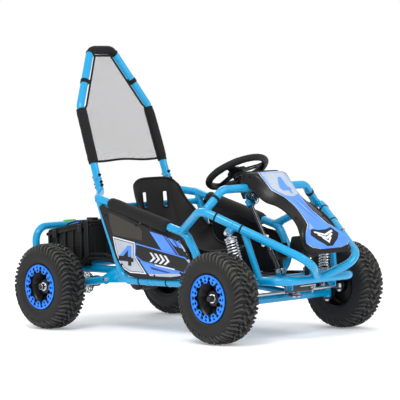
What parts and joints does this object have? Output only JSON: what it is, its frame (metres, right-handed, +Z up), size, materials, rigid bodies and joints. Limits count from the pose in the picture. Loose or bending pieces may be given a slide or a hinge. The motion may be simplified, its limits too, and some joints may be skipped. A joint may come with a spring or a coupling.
{
  "type": "off road go kart",
  "caption": "Single-seat off road go kart with a blue tube frame, roll bar with back net, bucket seat, sprung axles, knobbly tyres and a chain driven rear axle.",
  "frame": {"origin": "on the ground, at the middle of the bounding box in X and on the plane between the left and right wheels", "axes": "+X towards the nose, +Y to the kart's left, +Z up"},
  "size_m": [1.4712, 0.825, 1.1587],
  "materials": {
    "frame_paint": "gloss",
    "black_paint": "satin",
    "black_plastic": "satin",
    "foam_cover": "matt woven cover over foam",
    "net_cord": "woven mesh",
    "tyre_rubber": "matt with knobbly tread",
    "blue_ring": "blue anodised",
    "steel": "zinc plated",
    "spring_steel": "bright plated"
  },
  "bodies": {
    "frame": {"side_hoop_right": "frame_paint", "side_hoop_left": "frame_paint", "upper_rail_right": "frame_paint", "upper_rail_left": "frame_paint", "dash_hoop": "frame_paint", "front_loop": "frame_paint", "floor_frame": "frame_paint", "floor_pan": "black_paint", "rear_frame": "frame_paint", "seat_cross_tube": "frame_paint", "roll_bar": "frame_paint", "roll_bar_pad_right": "foam_cover", "roll_bar_pad_left": "foam_cover", "roll_bar_top_sleeve": "foam_cover", "safety_net": "net_cord", "armrest_pad_right": "foam_cover", "armrest_pad_left": "foam_cover", "side_panel_right": "black_plastic", "side_panel_left": "black_plastic", "seat_shell": "black_plastic", "battery_box": "black_plastic", "nose_fairing": "black_plastic"},
    "steering": {"steering_wheel": "black_plastic", "steering_column": "black_paint"},
    "accelerator": {"accelerator_pedal": "black_paint"},
    "brake": {"brake_pedal": "black_paint"},
    "front_axle_beam": {"front_swing_frame": "frame_paint"},
    "knuckle_right": {"knuckle_right": "steel"},
    "tie_rod_right": {"tie_rod_right": "steel"},
    "front_wheel_right": {"front_right_tyre": "tyre_rubber", "front_right_rim": "black_paint", "front_right_bead_ring": "blue_ring"},
    "front_shock_right": {"front_shock_right_body": "steel", "front_shock_right_spring": "spring_steel"},
    "front_shock_rod_right": {"front_shock_right_rod": "steel"},
    "knuckle_left": {"knuckle_left": "steel"},
    "tie_rod_left": {"tie_rod_left": "steel"},
    "front_wheel_left": {"front_left_tyre": "tyre_rubber", "front_left_rim": "black_paint", "front_left_bead_ring": "blue_ring"},
    "front_shock_left": {"front_shock_left_body": "steel", "front_shock_left_spring": "spring_steel"},
    "front_shock_rod_left": {"front_shock_left_rod": "steel"},
    "rear_arm": {"rear_swing_arm": "frame_paint", "brake_caliper": "black_paint", "drive_motor": "black_paint", "drive_chain": "steel"},
    "rear_axle": {"rear_axle": "steel", "rear_sprocket": "steel", "brake_disc": "steel", "rear_right_tyre": "tyre_rubber", "rear_right_rim": "black_paint", "rear_right_bead_ring": "blue_ring", "rear_left_tyre": "tyre_rubber", "rear_left_rim": "black_paint", "rear_left_bead_ring": "blue_ring"},
    "motor_shaft": {"motor_sprocket": "steel"},
    "rear_shock": {"rear_shock_body": "steel", "rear_shock_spring": "spring_steel"},
    "rear_shock_rod": {"rear_shock_rod": "steel"}
  },
  "joints": [
    {"name": "steering", "type": "hinge", "parent": "frame", "child": "steering", "pos_m": [0.22789, 0, 0.631], "axis": [-0.4927, 0, 0.8702], "range_deg": [-44, 44]},
    {"name": "front_suspension", "type": "hinge", "parent": "frame", "child": "front_axle_beam", "pos_m": [0.20189, 0, 0.172], "axis": [0, -1, 0], "range_deg": [0, 5], "stiffness_Nm_per_rad": 2200, "springref_deg": -5.16},
    {"name": "knuckle_right_turn", "type": "hinge", "parent": "front_axle_beam", "child": "knuckle_right", "pos_m": [0.46189, -0.255, 0.17421], "axis": [0, 0, 1], "range_deg": [-25, 25]},
    {"name": "tie_rod_right_turn", "type": "hinge", "parent": "knuckle_right", "child": "tie_rod_right", "pos_m": [0.52689, -0.255, 0.176], "axis": [0, 0, 1], "range_deg": [-25, 25]},
    {"name": "front_wheel_right_spin", "type": "hinge", "parent": "knuckle_right", "child": "front_wheel_right", "pos_m": [0.46189, -0.35, 0.17421], "axis": [0, 1, 0], "continuous": true},
    {"name": "front_shock_right_tilt", "type": "hinge", "parent": "frame", "child": "front_shock_right", "pos_m": [0.44389, -0.268, 0.416], "axis": [0.9525, -0.2949, 0.0763], "range_deg": [0, 1.28]},
    {"name": "front_shock_right_stroke", "type": "slide", "parent": "front_shock_right", "child": "front_shock_rod_right", "axis": [-0.1371, -0.1911, 0.972], "range_m": [0, 0.02357], "deforming": ["front_shock_right_spring"]},
    {"name": "knuckle_left_turn", "type": "hinge", "parent": "front_axle_beam", "child": "knuckle_left", "pos_m": [0.46189, 0.255, 0.17421], "axis": [0, 0, 1], "range_deg": [-25, 25]},
    {"name": "tie_rod_left_turn", "type": "hinge", "parent": "knuckle_left", "child": "tie_rod_left", "pos_m": [0.52689, 0.255, 0.176], "axis": [0, 0, 1], "range_deg": [-25, 25]},
    {"name": "front_wheel_left_spin", "type": "hinge", "parent": "knuckle_left", "child": "front_wheel_left", "pos_m": [0.46189, 0.35, 0.17421], "axis": [0, 1, 0], "continuous": true},
    {"name": "front_shock_left_tilt", "type": "hinge", "parent": "frame", "child": "front_shock_left", "pos_m": [0.44389, 0.268, 0.416], "axis": [-0.9525, -0.2949, -0.0763], "range_deg": [0, 1.28]},
    {"name": "front_shock_left_stroke", "type": "slide", "parent": "front_shock_left", "child": "front_shock_rod_left", "axis": [-0.1371, 0.1911, 0.972], "range_m": [0, 0.02357], "deforming": ["front_shock_left_spring"]},
    {"name": "rear_suspension", "type": "hinge", "parent": "frame", "child": "rear_arm", "pos_m": [-0.28411, 0, 0.204], "axis": [0, 1, 0], "range_deg": [0, 7], "stiffness_Nm_per_rad": 2200, "springref_deg": -5.16},
    {"name": "rear_axle_spin", "type": "hinge", "parent": "rear_arm", "child": "rear_axle", "pos_m": [-0.51811, 0, 0.17421], "axis": [0, 1, 0], "continuous": true},
    {"name": "motor_sprocket_spin", "type": "hinge", "parent": "rear_arm", "child": "motor_shaft", "pos_m": [-0.42011, 0, 0.18], "axis": [0, 1, 0], "continuous": true},
    {"name": "rear_shock_tilt", "type": "hinge", "parent": "frame", "child": "rear_shock", "pos_m": [-0.31411, 0, 0.452], "axis": [0, -1, 0], "range_deg": [0, 0.243]},
    {"name": "rear_shock_stroke", "type": "slide", "parent": "rear_shock", "child": "rear_shock_rod", "axis": [0.2142, 0, 0.9768], "range_m": [0, 0.01013], "deforming": ["rear_shock_spring"]},
    {"name": "accelerator_travel", "type": "hinge", "parent": "frame", "child": "accelerator", "pos_m": [0.52789, -0.075, 0.258], "axis": [0, 1, 0], "range_deg": [0, 20], "stiffness_Nm_per_rad": 4, "springref_deg": -20.05},
    {"name": "brake_travel", "type": "hinge", "parent": "frame", "child": "brake", "pos_m": [0.52789, 0.075, 0.258], "axis": [0, 1, 0], "range_deg": [0, 20], "stiffness_Nm_per_rad": 4, "springref_deg": -20.05}
  ],
  "couplings": [
    {"joint": "knuckle_right_turn", "follows": "steering", "ratio": 0.568},
    {"joint": "tie_rod_right_turn", "follows": "steering", "ratio": -0.568},
    {"joint": "front_shock_right_tilt", "follows": "front_suspension", "ratio": 0.25319},
    {"joint": "front_shock_right_stroke", "follows": "front_suspension", "m_per_rad": 0.26893},
    {"joint": "knuckle_left_turn", "follows": "steering", "ratio": 0.568},
    {"joint": "tie_rod_left_turn", "follows": "steering", "ratio": -0.568},
    {"joint": "front_shock_left_tilt", "follows": "front_suspension", "ratio": 0.25319},
    {"joint": "front_shock_left_stroke", "follows": "front_suspension", "m_per_rad": 0.26893},
    {"joint": "motor_sprocket_spin", "follows": "rear_axle_spin", "ratio": 2.8889},
    {"joint": "rear_shock_tilt", "follows": "rear_suspension", "ratio": 0.03322},
    {"joint": "rear_shock_stroke", "follows": "rear_suspension", "m_per_rad": 0.082061}
  ]
}
